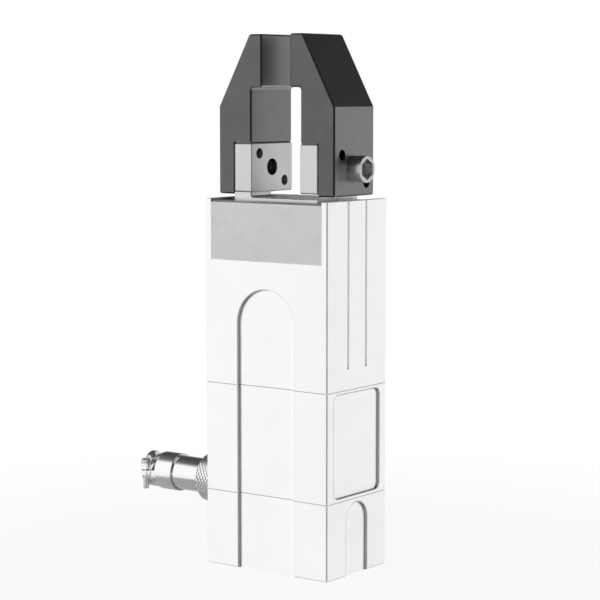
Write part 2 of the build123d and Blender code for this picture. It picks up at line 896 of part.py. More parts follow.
def involute_half_angle(radius):
    """Half the angle that a tooth takes up at the given radius."""
    def involute(angle):
        return math.tan(angle) - angle
    rolling = math.radians(pressure_angle)
    base = pitch_radius * math.cos(rolling)
    at_pitch = math.pi / (2 * pinion_teeth) - backlash / (4 * pitch_radius)
    return at_pitch + involute(rolling) - involute(math.acos(min(1.0, base / radius)))


def polar(radius, angle):
    """A point of the plan from its radius and angle."""
    return (radius * math.cos(angle), radius * math.sin(angle))


def pinion():
    """The pinion: involute flanks on radial roots, one tooth centred on the rear rack."""
    base = pitch_radius * math.cos(math.radians(pressure_angle))
    tip = pitch_radius + gear_module
    root = pitch_radius - tooth_foot * gear_module
    middle = (base + tip) / 2
    step = 2 * math.pi / pinion_teeth
    edges = []
    for tooth in range(pinion_teeth):
        centre = math.pi * 1.5 + tooth * step
        rise = [polar(r, centre - involute_half_angle(r)) for r in (base, middle, tip)]
        fall = [polar(r, centre + involute_half_angle(r)) for r in (tip, middle, base)]
        foot_in = polar(root, centre - involute_half_angle(base))
        foot_out = polar(root, centre + involute_half_angle(base))
        next_foot = polar(root, centre + step - involute_half_angle(base))
        edges += [
            Line(foot_in, rise[0]), ThreePointArc(*rise),
            ThreePointArc(rise[2], polar(tip, centre), fall[0]), ThreePointArc(*fall),
            Line(fall[2], foot_out),
            ThreePointArc(foot_out, polar(root, centre + step / 2), next_foot),
        ]
    gear = Pos(0, 0, pinion_bottom) * extrude(make_face(edges), pinion_face)
    return gear - rod(shaft_neck_radius, 0, 0, pinion_bottom, pinion_top)


def pinion_screw():
    """The small screw and its wide head that keep the pinion on its shaft."""
    length = m16_head_radius * 2 - screw_clearance
    screw = cap_screw(m16_radius, length, shaft_neck_radius + m16_radius, m16_head_height)
    return Pos(0, 0, pinion_top) * screw


def bearing_centre_radius():
    """The circle that the balls' centres run on."""
    return bearing_radius - bearing_ring - bearing_ball_clearance - bearing_ball_radius


def bearing_inner_radius():
    """The outside of the bearing's inner ring."""
    return bearing_centre_radius() - bearing_ball_radius - bearing_ball_clearance


def bearing_outer_ring():
    """The outer ring of the shaft's bearing with its two shields."""
    low, high = guide_bottom, guide_bottom + bearing_height
    ring = rod(bearing_radius, 0, 0, low, high)
    ring -= rod(bearing_inner_radius() + bearing_shield_gap, 0, 0, low, high)
    return ring - rod(bearing_radius - bearing_ring, 0, 0,
                      low + bearing_shield, high - bearing_shield)


def bearing_inner_ring():
    """The inner ring, tight on the shaft."""
    low, high = guide_bottom, guide_bottom + bearing_height
    return rod(bearing_inner_radius(), 0, 0, low, high) - rod(shaft_radius, 0, 0, low, high)


def bearing_balls():
    """The bearing's balls."""
    z = guide_bottom + bearing_height / 2
    return group(
        Pos(*polar(bearing_centre_radius(), 2 * math.pi * i / bearing_ball_count), z)
        * Sphere(bearing_ball_radius)
        for i in range(bearing_ball_count)
    )


def tie_screws():
    """The four long screws that hold the three sections to the guide block."""
    length = guide_bottom + tie_thread - tie_head_recess - screw_clearance
    screw = Rot(180, 0, 0) * cap_screw(
        m25_radius, length, m25_head_radius, min(m25_head_height, tie_head_recess))
    return group(Pos(x, y, tie_head_recess) * screw for x, y in corners(tie_x, tie_y))


def board_corners():
    """The places of the control board's standoffs."""
    return corners(board_x - standoff_inset, board_y - standoff_inset)


def control_board():
    """The bare control board."""
    board = block(-board_x, board_x, -board_y, board_y, board_bottom, board_top)
    board = fillet(board.edges().filter_by(Axis.Z), board_thickness / 2)
    for x, y in board_corners():
        board -= rod(m2_radius + through_clearance, x, y, board_bottom, board_top)
    return board


def board_components():
    """Chips, capacitors and the two wire sockets on the control board."""
    def on_board(x, y, length, width, height):
        return block(x - length / 2, x + length / 2, y - width / 2, y + width / 2,
                     board_top, board_top + height)
    edge_y = board_y - wire_socket_width
    return group([
        on_board(0, 0, chip_width, chip_width, chip_height),
        on_board(board_x - regulator_width, 0, regulator_width, chip_width, regulator_height),
        on_board(0, edge_y, wire_socket_length, wire_socket_width, wire_socket_height),
        on_board(wire_socket_width - board_x, 0, wire_socket_width, wire_socket_length,
                 wire_socket_height),
        rod(capacitor_radius, -capacitor_radius - board_thickness, -edge_y,
            board_top, board_top + capacitor_height),
        rod(capacitor_radius, capacitor_radius + board_thickness, -edge_y,
            board_top, board_top + capacitor_height),
    ])


def board_standoffs():
    """The four pillars between floor and board."""
    return group(
        rod(standoff_radius, x, y, base_floor, board_bottom)
        - rod(m2_radius, x, y, base_floor, board_bottom)
        for x, y in board_corners()
    )


def board_screws():
    """The screws down through board and standoffs into the floor."""
    length = board_thickness + standoff_height + board_screw_grip - screw_clearance
    screw = cap_screw(m2_radius, length, m2_head_radius, m2_head_height)
    return group(Pos(x, y, board_top) * screw for x, y in board_corners())


def turned(profile):
    """Turns a profile about the connector's axis. Its points are pairs of the distance
    out from the left face and the radius."""
    points = [(-half_width - out, radius) for out, radius in profile]
    solid = revolve(make_face(Polyline(*points, close=True)), Axis.X)
    return Pos(0, 0, connector_z) * solid


def out_rod(radius, out0, out1, y=0.0, z=0.0):
    """A cylinder along the connector's axis, between two distances out."""
    return rod_x(radius, y, connector_z + z, -half_width - out1, -half_width - out0)


def panel_socket():
    """The threaded socket in the left wall, clamped there by its flange and nut."""
    body = out_rod(socket_thread_radius, socket_back, socket_mouth)
    body += out_rod(socket_flange_radius, 0, socket_flange_thickness)
    body -= out_rod(socket_bore, socket_mouth - socket_bore_depth, socket_mouth)
    return body - out_rod(socket_insert_radius, socket_back, socket_mouth)


def socket_nut():
    """The hexagon nut on the socket, inside the wall."""
    nut = upright_hexagon(nut_flats, 0, nut_thickness)
    nut -= rod(socket_thread_radius, 0, 0, 0, nut_thickness)
    return Pos(-cavity_x, 0, connector_z) * Rot(0, 90, 0) * nut


def contact_places():
    """The places of the contacts round the connector's axis."""
    return [
        polar(contact_circle_radius, 2 * math.pi * (i + 0.5) / contact_count)
        for i in range(contact_count)
    ]


def socket_insert():
    """The insulator that holds the contacts in the socket."""
    body = out_rod(socket_insert_radius, socket_back, plug_insert_start() - end_gap)
    for y, z in contact_places():
        body -= out_rod(contact_radius, socket_back, plug_insert_start(), y, z)
    return body


def socket_contacts():
    """The contact pins, with their solder ends inside the body."""
    start = socket_back - 2 * contact_radius
    return group(
        out_rod(contact_radius, start, start + contact_length, y, z)
        for y, z in contact_places()
    )


def coupling_ring():
    """The ring that draws the plug onto the socket. Its knurl is left plain here."""
    lip = socket_mouth + plug_flange_thickness + 2 * running_clearance
    return turned([
        (ring_start, socket_thread_radius + running_clearance), (ring_start, ring_radius - ring_edge),
        (ring_start + ring_edge, ring_radius), (ring_start + ring_straight, ring_radius),
        (ring_end, ring_tail_radius), (ring_end, plug_neck_radius + running_clearance),
        (lip, plug_neck_radius + running_clearance),
        (lip, socket_thread_radius + running_clearance),
    ])


def plug_insert_start():
    """Where the plug's insulator meets the socket's."""
    return socket_mouth - plug_nose_length + end_gap


def plug_front_shell():
    """The plug's front: nose, flange for the ring, neck and the start of the barrel."""
    bore = plug_nose_radius - plug_wall
    nose = socket_mouth - plug_nose_length
    flange = socket_mouth + running_clearance
    spigot = plug_split - plug_spigot_length
    return turned([
        (nose, bore), (nose, plug_nose_radius), (flange, plug_nose_radius),
        (flange, plug_flange_radius), (flange + plug_flange_thickness, plug_flange_radius),
        (flange + plug_flange_thickness, plug_neck_radius), (plug_neck_end, plug_neck_radius),
        (plug_barrel_start, plug_barrel_radius),
        (plug_split - plug_split_chamfer, plug_barrel_radius),
        (plug_split, plug_barrel_radius - plug_split_chamfer),
        (plug_split, plug_spigot_radius + screw_clearance),
        (spigot, plug_spigot_radius + screw_clearance), (spigot, bore),
    ])


def plug_insert():
    """The plug's insulator with the holes that take the contacts."""
    start = plug_insert_start()
    body = out_rod(plug_nose_radius - plug_wall - screw_clearance, start,
                   start + plug_insert_length)
    for y, z in contact_places():
        body -= out_rod(contact_radius + screw_clearance, start, start + plug_insert_length, y, z)
    return body


def clamp_screw_spots():
    """The places of the two clamp screws."""
    x = -half_width - clamp_screw_x
    return [(x, -clamp_screw_y), (x, clamp_screw_y)]


def plug_rear_shell():
    """The plug's rear: barrel, spigot and the tongue that the cable lies in."""
    spigot = plug_split - plug_spigot_length + running_clearance
    shell = turned([
        (spigot, cable_radius), (spigot, plug_spigot_radius), (plug_split, plug_spigot_radius),
        (plug_split, plug_barrel_radius - plug_split_chamfer),
        (plug_split + plug_split_chamfer, plug_barrel_radius),
        (rear_barrel_end, plug_barrel_radius), (rear_end, rear_tail_radius),
        (rear_end, cable_radius),
    ])
    x0, x1 = -half_width - tongue_end, -half_width - rear_end
    top = connector_z + tongue_top
    tongue = out_rod(tongue_radius, rear_end, tongue_end)
    tongue -= block(x0, x1, -body_depth, body_depth, top, body_top)
    for x, y in clamp_screw_spots():
        tongue += rod(clamp_boss_radius, x, y, top - clamp_boss_height, top)
    tongue -= out_rod(cable_radius, rear_end, tongue_end)
    for x, y in clamp_screw_spots():
        tongue -= rod(clamp_screw_radius + screw_clearance, x, y, 0, top)
    return shell + tongue


def cable_clamp():
    """The saddle that holds the cable down on the tongue, with a pocket for each screw."""
    low, ear = connector_z + tongue_top + clamp_gap, connector_z + clamp_ear_top
    start, end = clamp_screw_x - clamp_width / 2, clamp_screw_x + clamp_width / 2
    x0, x1 = -half_width - end, -half_width - start
    saddle = out_rod(clamp_arch_radius, start, end, 0, clamp_crown - clamp_arch_radius)
    saddle -= block(x0, x1, -body_depth, body_depth, 0, low)
    saddle += block(x0, x1, -clamp_screw_y, clamp_screw_y, low, ear)
    for x, y in clamp_screw_spots():
        saddle += rod(clamp_boss_radius, x, y, low, ear)
        saddle -= rod(clamp_boss_radius, x, y, ear, body_top)
        saddle -= rod(clamp_screw_radius + screw_clearance, x, y, low, ear)
    return saddle - out_rod(cable_radius, start, end)


def clamp_screws():
    """The two slotted screws of the cable clamp."""
    screw = rod(clamp_screw_radius, 0, 0, -clamp_screw_length, 0)
    head = rod(clamp_head_radius, 0, 0, 0, clamp_head_height)
    head = chamfer(head.faces().sort_by(Axis.Z)[-1].edges(), clamp_slot_width / 2)
    screw += head
    screw -= block(-clamp_head_radius, clamp_head_radius, -clamp_slot_width / 2,
                   clamp_slot_width / 2, clamp_head_height - clamp_slot_depth, clamp_head_height)
    ear = connector_z + clamp_ear_top
    return group(Pos(x, y, ear) * screw for x, y in clamp_screw_spots())


def main():
    os.makedirs("parts", exist_ok=True)
    fixed = [
        lower_housing, middle_housing, upper_housing, guide_block, rail_screws,
        motor_plate, plate_screws, gearhead, gearhead_screws, motor, encoder_cover,
        bearing_outer_ring, tie_screws, control_board, board_components,
        board_standoffs, board_screws, panel_socket, socket_nut, socket_insert,
        socket_contacts, coupling_ring, plug_front_shell, plug_insert, plug_rear_shell,
        cable_clamp, clamp_screws,
    ]
    turning = [drive_shaft, pinion, pinion_screw, bearing_inner_ring, bearing_balls]
    for make in fixed + turning:
        write(make.__name__, make())
    write("front_guide_rail", guide_rail(-1))
    write("rear_guide_rail", guide_rail(1))
    sided = [
        slider, rack, rack_screws, carriage, carriage_caps, carriage_screws,
        jaw_block, jaw_screws, finger, finger_screw, dowel_pins,
    ]
    for name, side in (("left", -1), ("right", 1)):
        for make in sided:
            write(name + "_" + make.__name__, make(side))


main()
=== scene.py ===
"""An electric two-finger gripper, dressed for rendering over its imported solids.

Lengths are in metres; MM turns millimetres into them. X is the way the right jaw opens,
-Y is the wide front face and Z points up from the base.
"""
from functools import reduce
import json
import math
import bpy
import numpy as np
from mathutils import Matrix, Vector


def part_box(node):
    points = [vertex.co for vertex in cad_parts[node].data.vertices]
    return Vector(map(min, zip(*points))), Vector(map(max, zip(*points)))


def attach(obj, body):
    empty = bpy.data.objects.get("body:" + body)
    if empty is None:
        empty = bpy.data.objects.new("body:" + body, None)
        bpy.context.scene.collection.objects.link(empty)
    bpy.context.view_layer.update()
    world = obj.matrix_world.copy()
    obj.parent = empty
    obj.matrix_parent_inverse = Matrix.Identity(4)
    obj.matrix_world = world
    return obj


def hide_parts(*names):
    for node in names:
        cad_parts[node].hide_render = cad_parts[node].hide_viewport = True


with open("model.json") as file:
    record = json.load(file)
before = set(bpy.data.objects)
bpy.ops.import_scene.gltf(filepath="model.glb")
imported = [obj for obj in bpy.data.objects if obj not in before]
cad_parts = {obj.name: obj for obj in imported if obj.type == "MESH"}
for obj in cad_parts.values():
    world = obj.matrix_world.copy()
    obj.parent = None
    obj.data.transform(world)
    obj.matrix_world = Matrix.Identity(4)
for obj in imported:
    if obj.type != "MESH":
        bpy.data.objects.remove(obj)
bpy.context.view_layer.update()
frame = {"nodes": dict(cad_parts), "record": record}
MM = 0.001
TURN = 2 * math.pi
QUARTER = TURN / 4


def add_object(name, data):
    """A new object of the data, in the scene."""
    made = bpy.data.objects.new(name, data)
    bpy.context.scene.collection.objects.link(made)
    return made


def grid_quads(rows, columns, closed):
    """Quads of a grid whose columns run round a loop. Point (r, c) has the index
    r * columns + c, and the last row meets the first one where closed is true."""
    r, c = np.meshgrid(np.arange(rows if closed else rows - 1), np.arange(columns), indexing="ij")
    below, beside = (r + 1) % rows, (c + 1) % columns
    return np.stack(
        [r * columns + c, r * columns + beside, below * columns + beside, below * columns + c], -1
    ).reshape(-1, 4)


def end_caps(rows, columns):
    """The two faces that close an open grid at its first and its last row."""
    around = np.arange(columns)
    return [around[::-1].tolist(), ((rows - 1) * columns + around).tolist()]


def fan(face):
    """The triangles of a flat face, all from its first corner."""
    face = np.array(face)
    return np.stack([np.full(len(face) - 2, face[0]), face[1:-1], face[2:]], -1)


def make_piece(name, grid, body, closed, sharp_degrees):
    """A solid piece from a grid of points whose columns run round a loop. Its faces point
    outwards: they are turned over where the sum of a . (b x c) over their triangles, which
    is six times the volume inside, comes out below zero."""
    rows, columns = grid.shape[:2]
    points = grid.reshape(-1, 3)
    quads = grid_quads(rows, columns, closed)
    caps = [] if closed else end_caps(rows, columns)
    triangles = np.concatenate([quads[:, [0, 1, 2]], quads[:, [0, 2, 3]], *map(fan, caps)])
    a, b, c = (points[corner] for corner in triangles.T)
    faces = quads.tolist() + caps
    if (a * np.cross(b, c)).sum() < 0:
        faces = [face[::-1] for face in faces]
    mesh = bpy.data.meshes.new(name)
    mesh.from_pydata(points.tolist(), [], faces)
    mesh.update()
    mesh.shade_smooth()
    mesh.set_sharp_from_angle(angle=math.radians(sharp_degrees))
    piece = add_object(name, mesh)
    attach(piece, body)
    return piece


def column_angles(columns):
    """The angle of each column of a grid that runs once round an axis."""
    return np.arange(columns) / columns * TURN


def turned_piece(name, axial, radius, start, way, body, closed=True, sharp_degrees=35):
    """A piece turned round an axis parallel to X, from its rows' axial distances and the
    radius of each row and column: x = start.x + way * axial, y = start.y + radius * cos and
    z = start.z + radius * sin of the column's angle."""
    angle = column_angles(radius.shape[1])
    x = start[0] + way * axial
    y = start[1] + radius * np.cos(angle)
    z = start[2] + radius * np.sin(angle)
    grid = np.stack(np.broadcast_arrays(x, y, z), -1)
    return make_piece(name, grid, body, closed, sharp_degrees)


def axis_of(node):
    """The Y and Z of a turned solid's axis, which is the middle of its box."""
    low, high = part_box(node)
    return (low.y + high.y) / 2, (low.z + high.z) / 2


def outline_rows(*parts):
    """The rows of an outline, from parts whose columns are single numbers or arrays."""
    return np.concatenate([
        np.stack(np.broadcast_arrays(*map(np.atleast_1d, part)), -1) for part in parts
    ])


def columns_of(rows):
    """Each column of an outline's rows, upright so that it broadcasts against angles."""
    return rows.T[:, :, None]


def triangle_wave(phase):
    """One at every whole phase, zero half way between, straight in between."""
    return np.abs(2 * (phase % 1.0) - 1)


SCREW_HEAD_HEIGHT = 4.5 * MM
SCREW_FOOT_ROUND = 0.12 * MM
SCREW_RIM_ROUND = 0.14 * MM
SCREW_TIP = 0.5 * MM
SCREW_RUNOUT = 0.6 * MM
SCREW_THREAD_RADIUS = 2.45 * MM
SCREW_THREAD_DEPTH = 0.42 * MM
SCREW_PITCH = 0.8 * MM
SCREW_PITCH_ROWS = 10
SCREW_COLUMNS = 96
FOOT_ROWS = 5
RIM_ROWS = 9
SOCKET_FLATS = 5.25 * MM
SOCKET_DEPTH = 2.8 * MM
SOCKET_EDGE = 0.07 * MM
SOCKET_POINT = 0.5 * MM
SOCKET_POINT_INSET = 0.45 * SOCKET_FLATS


def hexagon_radius(angle):
    """Distance from the axis to the socket's hexagon: half the flats over the cosine of the
    angle to the nearest flat. A corner points up."""
    to_flat = (angle - QUARTER) % (TURN / 6) - TURN / 12
    return SOCKET_FLATS / 2 / np.cos(to_flat)


def screw_rows(length, head_radius):
    """The screw's outline from the tip of its thread to the socket's floor: axial distance
    from the head's underside, radius, thread depth, and 1 where the row's radius is counted
    from the hexagon. The head's foot and rim are quarter circles."""
    thread = np.arange(-length + SCREW_TIP, -SCREW_RUNOUT, SCREW_PITCH / SCREW_PITCH_ROWS)
    foot, rim = np.linspace(0, QUARTER, FOOT_ROWS), np.linspace(0, QUARTER, RIM_ROWS)
    socket_floor = SCREW_HEAD_HEIGHT - SOCKET_DEPTH
    return outline_rows(
        (-length, SCREW_THREAD_RADIUS - 2 * SCREW_THREAD_DEPTH, 0, 0),
        (thread, SCREW_THREAD_RADIUS, SCREW_THREAD_DEPTH, 0),
        ((-SCREW_RUNOUT / 2, 0), SCREW_THREAD_RADIUS, 0, 0),
        (SCREW_FOOT_ROUND * (1 - np.cos(foot)),
         head_radius - SCREW_FOOT_ROUND * (1 - np.sin(foot)), 0, 0),
        (SCREW_HEAD_HEIGHT - SCREW_RIM_ROUND * (1 - np.sin(rim)),
         head_radius - SCREW_RIM_ROUND * (1 - np.cos(rim)), 0, 0),
        (SCREW_HEAD_HEIGHT, SOCKET_EDGE, 0, 1),
        ((SCREW_HEAD_HEIGHT - SOCKET_EDGE, socket_floor), 0, 0, 1),
        (socket_floor - SOCKET_POINT, -SOCKET_POINT_INSET, 0, 1),
    )


def finger_screw(side, way):
    """A socket screw: each row is a ring whose radius is the outline's, less a helical
    V groove on the thread, plus the hexagon's own radius inside the socket."""
    low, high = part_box(side + "_finger_screw")
    head_top = high.x if way > 0 else low.x
    start = (head_top - way * SCREW_HEAD_HEIGHT, *axis_of(side + "_finger_screw"))
    rows = screw_rows(high.x - low.x - SCREW_HEAD_HEIGHT, (high.z - low.z) / 2)
    angle = column_angles(SCREW_COLUMNS)
    axial, outline, depth, in_socket = columns_of(rows)
    groove = depth * (1 - triangle_wave(axial / SCREW_PITCH + angle / TURN))
    radius = outline + in_socket * hexagon_radius(angle) - groove
    piece = turned_piece(
        side + "_finger_screw_detailed", axial, radius, start, way,
        side + "_jaw", closed=False,
    )
    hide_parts(side + "_finger_screw")
    return piece


BLOCK_THREAD_START = 9.0 * MM
BLOCK_THREAD_END = 10.75 * MM
BLOCK_THREAD_WALL = 2.495 * MM
BLOCK_THREAD_ROOT = 2.46 * MM
BLOCK_THREAD_DEPTH = 0.34 * MM
BLOCK_THREAD_PITCH_ROWS = 12


def block_thread(side, way):
    """The thread seen in a jaw block's hole: a tube whose inner radius is the root less a
    triangular ridge, the ridge turning once round for every pitch along the axis."""
    along = np.arange(
        BLOCK_THREAD_START, BLOCK_THREAD_END, SCREW_PITCH / BLOCK_THREAD_PITCH_ROWS
    )[:, None]
    angle = column_angles(SCREW_COLUMNS)
    ridge = triangle_wave(along / SCREW_PITCH + angle / TURN)
    inner = BLOCK_THREAD_ROOT - BLOCK_THREAD_DEPTH * ridge
    outer = np.full((1, SCREW_COLUMNS), BLOCK_THREAD_WALL)
    return turned_piece(
        side + "_block_thread", np.concatenate([along[:1], along, along[-1:]]),
        np.concatenate([outer, inner, outer]), (0.0, *axis_of(side + "_finger_screw")), way,
        side + "_jaw", sharp_degrees=40,
    )


KNURL_COUNT = 25
KNURL_DEPTH = 0.22 * MM
KNURL_PITCH = 1.09 * MM
KNURL_STEPS = 16
KNURL_FLAT = 2.8
KNURL_SECOND = 0.5
RING_LENGTH = 8.9 * MM
RING_BORE = 6.0 * MM
RING_NECK_BORE = 5.3 * MM
RING_LIP = 7.9 * MM
RING_EDGE = 0.3 * MM


def mark_grooves(piece, share):
    """Keeps each point's share of groove with the piece, for its finish to paint shade by."""
    groove_shade = piece.data.attributes.new("groove", "FLOAT", "POINT")
    groove_shade.data.foreach_set("value", np.ascontiguousarray(share, dtype=np.float32).ravel())


def ring_rows(radius):
    """The ring's outline as axial distance from its mouth, radius and share of knurl:
    out along the knurled face, and back through the bore."""
    face = np.arange(RING_EDGE, RING_LENGTH - RING_EDGE, KNURL_PITCH / KNURL_STEPS)
    return outline_rows(
        (0, (RING_BORE, radius - RING_EDGE), 0),
        (face, radius, 1),
        (RING_LENGTH, (radius - RING_EDGE, RING_NECK_BORE), 0),
        (RING_LIP, (RING_NECK_BORE, RING_BORE), 0),
    )


def coupling_ring():
    """The knurled ring: two families of grooves wind round it, one each way, the second
    one shallower. A groove's share is largest on its line and falls to zero at the flat
    diamonds, and a point sinks by the knurl's depth times the larger share."""
    low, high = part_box("coupling_ring")
    angle = column_angles(KNURL_COUNT * KNURL_STEPS)
    axial, outline, knurl = columns_of(ring_rows((high.y - low.y) / 2))
    around, forward = KNURL_COUNT * angle / TURN, axial / KNURL_PITCH
    first, second = (
        1 - np.minimum(KNURL_FLAT * triangle_wave(around + wound), 1)
        for wound in (forward, -forward)
    )
    groove = knurl * np.maximum(first, KNURL_SECOND * second)
    piece = turned_piece(
        "knurled_coupling_ring", axial, outline - KNURL_DEPTH * groove,
        (high.x, *axis_of("coupling_ring")), -1, "housing", sharp_degrees=25,
    )
    mark_grooves(piece, groove)
    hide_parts("coupling_ring")
    return piece


SHELL_COLUMNS = 128
SHELL_NOSE = 3.0 * MM
SHELL_BORE = 4.3 * MM
SHELL_NOSE_RADIUS = 4.9 * MM
SHELL_FLANGE = 9.55 * MM
SHELL_FLANGE_RADIUS = 5.85 * MM
SHELL_FLANGE_END = 11.05 * MM
SHELL_NECK_RADIUS = 5.25 * MM
SHELL_GROOVE = 21.8 * MM
SHELL_GROOVE_RADIUS = 5.1 * MM
SHELL_GROOVE_SHADE = 0.48
SHELL_SHADE_BEFORE = 0.02 * MM
SHELL_SHADE_AFTER = 0.12 * MM
SHELL_BARREL = 22.08 * MM
SHELL_BARREL_RADIUS = 5.83 * MM
SHELL_BARREL_END = 28.4 * MM
SHELL_SKIN_RADIUS = 5.81 * MM
SHELL_SPIGOT = 21.5 * MM
SHELL_SPIGOT_RADIUS = 5.15 * MM
SHELL_JOINT = 25.5 * MM
SHELL_ROUND = 0.06 * MM
BEND_ROWS = 4
BEND_SHARE = 0.45
GUARD_SHARE = 0.04


def rounded(corners, radius):
    """Rows of an outline whose corners are rounded: at each corner the line leaves one
    radius early, or at a share of a short run, bends in a quadratic curve through the
    corner's weight, and goes on. A row just before and after each bend keeps the runs
    between them straight."""
    corners = np.array(corners)
    before, after = np.roll(corners, 1, 0) - corners, np.roll(corners, -1, 0) - corners
    run_before, run_after = (np.linalg.norm(run, axis=1)[:, None] for run in (before, after))
    reach = np.minimum(radius, BEND_SHARE * np.minimum(run_before, run_after))
    start, end = corners + before / run_before * reach, corners + after / run_after * reach
    share = np.linspace(0, 1, BEND_ROWS)[:, None, None]
    bend = (1 - share) ** 2 * start + 2 * share * (1 - share) * corners + share ** 2 * end
    guards = start + GUARD_SHARE * before, end + GUARD_SHARE * after
    rows = np.concatenate([guards[0][None], bend, guards[1][None]])
    return rows.transpose(1, 0, 2).reshape(-1, 2)


def plug_shell():
    """The plug's front shell, turned from a rounded outline whose axial distances start at
    the body's left face: nose, flange, neck, a narrow groove and the barrel, whose skin
    runs on over the rear shell's barrel."""
    axial, outline = columns_of(rounded([
        (SHELL_NOSE, SHELL_BORE), (SHELL_NOSE, SHELL_NOSE_RADIUS),
        (SHELL_FLANGE, SHELL_NOSE_RADIUS), (SHELL_FLANGE, SHELL_FLANGE_RADIUS),
        (SHELL_FLANGE_END, SHELL_FLANGE_RADIUS), (SHELL_FLANGE_END, SHELL_NECK_RADIUS),
        (SHELL_GROOVE, SHELL_NECK_RADIUS), (SHELL_GROOVE, SHELL_GROOVE_RADIUS),
        (SHELL_BARREL, SHELL_GROOVE_RADIUS), (SHELL_BARREL, SHELL_BARREL_RADIUS),
        (SHELL_BARREL_END, SHELL_BARREL_RADIUS), (SHELL_BARREL_END, SHELL_SKIN_RADIUS),
        (SHELL_JOINT, SHELL_SKIN_RADIUS), (SHELL_JOINT, SHELL_SPIGOT_RADIUS),
        (SHELL_SPIGOT, SHELL_SPIGOT_RADIUS), (SHELL_SPIGOT, SHELL_BORE),
    ], SHELL_ROUND))
    radius = np.repeat(outline, SHELL_COLUMNS, 1)
    start = (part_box("lower_housing")[0].x, *axis_of("panel_socket"))
    piece = turned_piece("plug_shell", axial, radius, start, -1, "housing")
    # The groove before the barrel gets a share of painted shade.
    from_groove, to_barrel = axial - SHELL_GROOVE, axial - SHELL_BARREL
    in_groove = (from_groove > -SHELL_SHADE_BEFORE) & (to_barrel < SHELL_SHADE_AFTER)
    mark_grooves(piece, np.repeat(SHELL_GROOVE_SHADE * in_groove, SHELL_COLUMNS, 1))
    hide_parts("plug_front_shell")
    return piece


class Nodes:
    """A node tree with short names for the arithmetic of finishes and of the studio."""

    def __init__(self, tree):
        self.tree = tree

    def feed(self, socket, value):
        """Links the socket where the value is a socket too, and sets it otherwise."""
        if isinstance(value, bpy.types.NodeSocket):
            self.tree.links.new(value, socket)
        else:
            socket.default_value = value

    def add(self, kind, **inputs):
        """A new node whose inputs are fed by name, an underscore standing for a space."""
        made = self.tree.nodes.new("ShaderNode" + kind)
        for name, value in inputs.items():
            self.feed(made.inputs[name.replace("_", " ")], value)
        return made

    def calculate(self, operation, a, b=0.0):
        """The result of one math node; an operation on a alone leaves b unused."""
        made = self.add("Math")
        made.operation = operation
        self.feed(made.inputs[0], a)
        self.feed(made.inputs[1], b)
        return made.outputs[0]

    def product(self, *values):
        return reduce(lambda a, b: self.calculate("MULTIPLY", a, b), values)

    def total(self, *values):
        return reduce(lambda a, b: self.calculate("ADD", a, b), values)

    def largest(self, *values):
        return reduce(lambda a, b: self.calculate("MAXIMUM", a, b), values)

    def without(self, share):
        """What the share leaves of one."""
        return self.calculate("SUBTRACT", 1.0, share)

    def distance(self, a, b=0.0):
        """How far a lies from b, on either side."""
        return self.calculate("ABSOLUTE", self.calculate("SUBTRACT", a, b))

    def ramp(self, kind, value, start, end, low=0.0, high=1.0):
        """Goes from low to high while the value goes from start to end, and stays there."""
        made = self.add("MapRange", Value=value, From_Min=start, From_Max=end,
                        To_Min=low, To_Max=high)
        made.interpolation_type = kind
        return made.outputs["Result"]

    def ease(self, *numbers):
        """A ramp that is smooth at both ends."""
        return self.ramp("SMOOTHSTEP", *numbers)

    def slope(self, *numbers):
        """A ramp that is straight."""
        return self.ramp("LINEAR", *numbers)

    def vector(self, operation, value):
        """A node of vector arithmetic, its first input fed."""
        made = self.add("VectorMath")
        made.operation = operation
        self.feed(made.inputs[0], value)
        return made

    def cosine(self, direction, way):
        """The cosine between a direction and a fixed way, both of length one."""
        made = self.vector("DOT_PRODUCT", direction)
        made.inputs[1].default_value = way
        return made.outputs["Value"]

    def parts(self, vector):
        """The X, Y and Z of a vector."""
        return list(self.add("SeparateXYZ", Vector=vector).outputs)

    def past_outline(self, across, up, half_width, half_height, corner):
        """Distance outwards from the edge of a rounded rectangle about the origin: the
        length of what lies past the corner's centre, less the corner's radius."""
        beyond = [
            self.largest(self.calculate("SUBTRACT", self.distance(value), half - corner), 0.0)
            for value, half in ((across, half_width), (up, half_height))
        ]
        squares = [self.product(value, value) for value in beyond]
        return self.calculate("SUBTRACT", self.calculate("SQRT", self.total(*squares)), corner)

    def rays(self):
        """1 for a ray that comes straight from the camera or through glass, and 1 for a
        glossy one."""
        path = self.add("LightPath").outputs
        seen = self.largest(path["Is Camera Ray"], path["Is Transmission Ray"])
        return seen, path["Is Glossy Ray"]


GRAIN_LOW = 0.3
GRAIN_HIGH = 0.7
GRAIN_ROUGHNESS = 0.55
SOFT_DETAIL = 3.0
CRISP_DETAIL = 2.0


